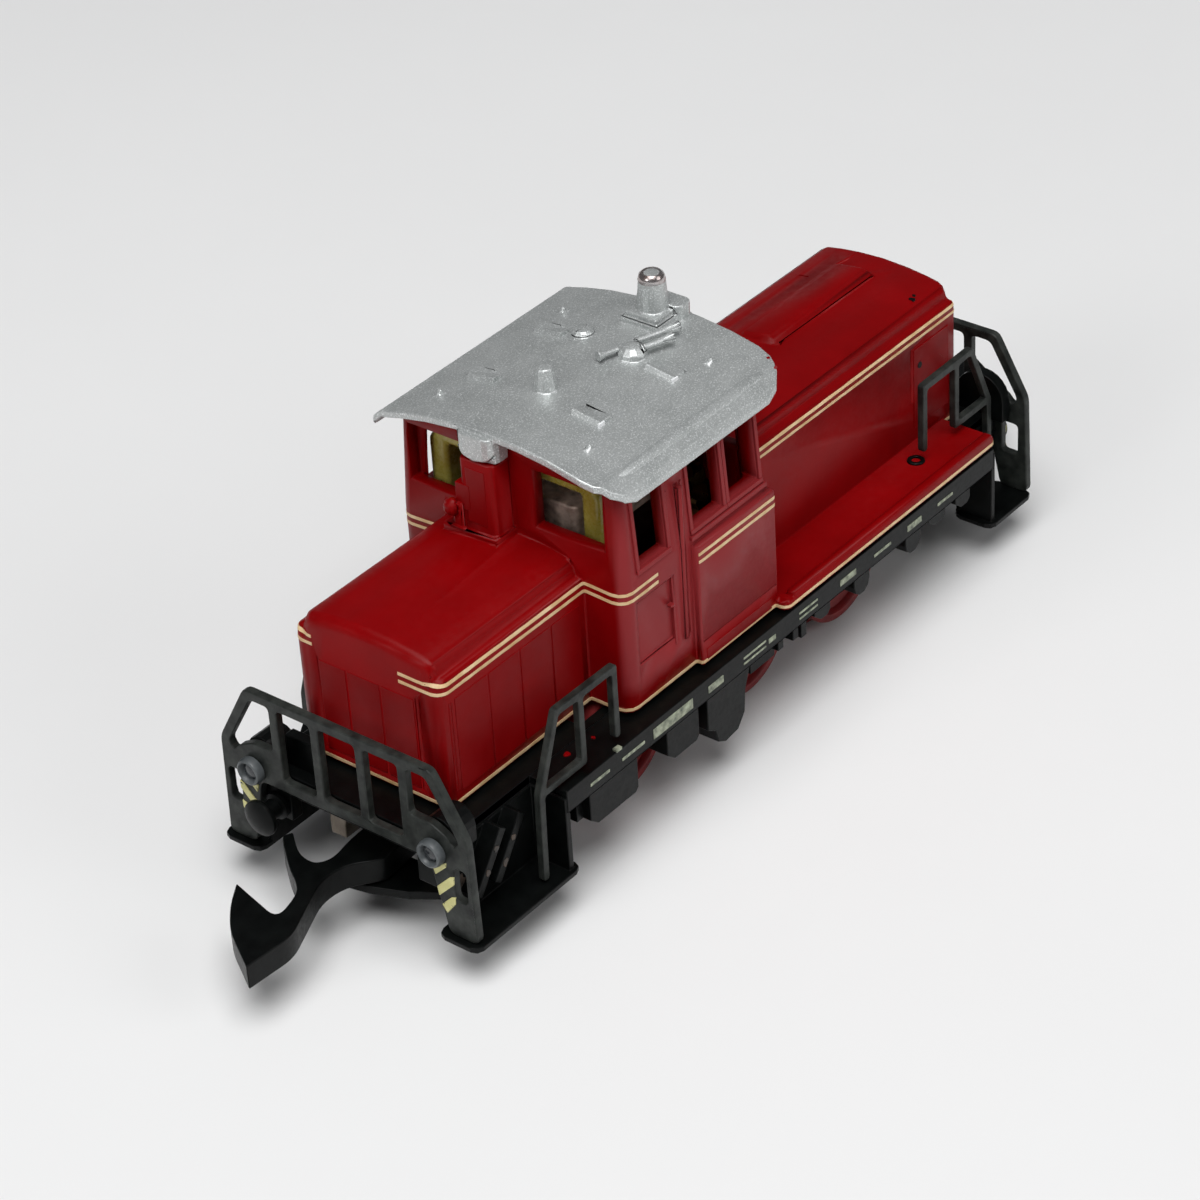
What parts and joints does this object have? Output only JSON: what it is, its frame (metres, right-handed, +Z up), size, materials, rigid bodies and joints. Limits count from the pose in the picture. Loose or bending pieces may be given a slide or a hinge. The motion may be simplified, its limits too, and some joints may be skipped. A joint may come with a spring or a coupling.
{
  "type": "model diesel locomotive",
  "caption": "Small-scale model diesel shunter: red body with an offset cab and two hoods, silver roof, black underframe with railings, geared wheelsets and swinging couplers.",
  "frame": {"origin": "under the middle of the model, between the coupler tips, level with the bottom of the wheel flanges", "axes": "+X towards the long hood, +Y to the model's left, +Z up"},
  "size_m": [0.055, 0.0138, 0.0206],
  "materials": {
    "red_paint": "satin dark red paint on moulded plastic",
    "silver_paint": "silver-grey paint on moulded plastic",
    "black_plastic": "moulded black plastic",
    "olive_plastic": "olive tinted moulding",
    "zinc": "die-cast zinc, bare",
    "wheel_red": "red painted wheel, worn tread",
    "steel": "turned steel",
    "brass": "turned brass",
    "copper": "copper and lacquered wire",
    "carbon": "pressed carbon",
    "ferrite": "sintered ferrite",
    "circuit_board": "phenolic board",
    "lamp_grey": "grey moulded lamp",
    "gear_plastic": "moulded gear",
    "bulb_glass": "clear glass"
  },
  "bodies": {
    "chassis": {"body_shell": "red_paint", "cab_roof": "silver_paint", "cab_insert": "olive_plastic", "cab_ballast": "zinc", "chassis_frame": "zinc", "underframe": "black_plastic", "base_cover": "black_plastic", "circuit_board": "circuit_board", "front_bulb": "bulb_glass", "body_screw": "steel", "front_end_railing": "black_plastic", "front_coupler_pin": "steel", "front_coupler_spring": "steel", "front_base_screw": "steel", "front_motor_bearing": "brass", "front_idler_pin": "steel", "front_left_side_railing": "black_plastic", "front_left_headlamp": "lamp_grey", "front_left_buffer": "black_plastic", "front_right_side_railing": "black_plastic", "front_right_headlamp": "lamp_grey", "rear_end_railing": "black_plastic", "rear_coupler_pin": "steel", "rear_coupler_spring": "steel", "rear_base_screw": "steel", "rear_motor_bearing": "brass", "rear_idler_pin": "steel", "rear_left_side_railing": "black_plastic", "rear_left_headlamp": "lamp_grey", "rear_left_buffer": "black_plastic", "rear_right_side_railing": "black_plastic", "rear_right_headlamp": "lamp_grey", "rear_right_buffer": "black_plastic", "left_magnet": "ferrite", "left_brush": "carbon", "left_brush_spring": "steel", "left_pickup_strip": "copper", "right_magnet": "ferrite", "right_brush": "carbon", "right_brush_spring": "steel", "right_pickup_strip": "copper"},
    "front_wheelset": {"front_axle": "steel", "front_axle_gear": "gear_plastic", "front_left_wheel": "wheel_red", "front_right_wheel": "wheel_red"},
    "middle_wheelset": {"middle_axle": "steel", "middle_axle_gear": "gear_plastic", "middle_left_wheel": "wheel_red", "middle_right_wheel": "wheel_red"},
    "rear_wheelset": {"rear_axle": "steel", "rear_axle_gear": "gear_plastic", "rear_left_wheel": "wheel_red", "rear_right_wheel": "wheel_red"},
    "front_idler": {"front_idler_gear": "brass"},
    "rear_idler": {"rear_idler_gear": "brass"},
    "motor": {"motor_armature": "copper", "worm": "brass"},
    "front_coupling_hook": {"front_coupler": "black_plastic"},
    "rear_coupling_hook": {"rear_coupler": "black_plastic"}
  },
  "joints": [
    {"name": "front_axle_turn", "type": "hinge", "parent": "chassis", "child": "front_wheelset", "pos_m": [-0.007, 0, 0.0034], "axis": [0, 1, 0], "continuous": true},
    {"name": "middle_axle_turn", "type": "hinge", "parent": "chassis", "child": "middle_wheelset", "pos_m": [0.0018, 0, 0.0034], "axis": [0, 1, 0], "continuous": true},
    {"name": "rear_axle_turn", "type": "hinge", "parent": "chassis", "child": "rear_wheelset", "pos_m": [0.0088, 0, 0.0034], "axis": [0, 1, 0], "continuous": true},
    {"name": "front_idler_turn", "type": "hinge", "parent": "chassis", "child": "front_idler", "pos_m": [-0.0026, 0, 0.00434], "axis": [0, 1, 0], "continuous": true},
    {"name": "rear_idler_turn", "type": "hinge", "parent": "chassis", "child": "rear_idler", "pos_m": [0.0053, 0, 0.00623], "axis": [0, 1, 0], "continuous": true},
    {"name": "motor_turn", "type": "hinge", "parent": "chassis", "child": "motor", "pos_m": [0.0125, 0, 0.00983], "axis": [1, 0, 0], "continuous": true},
    {"name": "front_coupler_swing", "type": "hinge", "parent": "chassis", "child": "front_coupling_hook", "pos_m": [-0.0166, 0, 0.00285], "axis": [0, 0, 1], "range_deg": [-15, 15], "stiffness_Nm_per_rad": 0.00002},
    {"name": "rear_coupler_swing", "type": "hinge", "parent": "chassis", "child": "rear_coupling_hook", "pos_m": [0.0166, 0, 0.00285], "axis": [0, 0, 1], "range_deg": [-15, 15], "stiffness_Nm_per_rad": 0.00002}
  ],
  "couplings": [
    {"joint": "middle_axle_turn", "follows": "front_axle_turn", "ratio": 1},
    {"joint": "rear_axle_turn", "follows": "front_axle_turn", "ratio": 1},
    {"joint": "front_idler_turn", "follows": "front_axle_turn", "ratio": -0.66667},
    {"joint": "rear_idler_turn", "follows": "front_axle_turn", "ratio": -0.66667},
    {"joint": "motor_turn", "follows": "front_axle_turn", "ratio": 12}
  ]
}
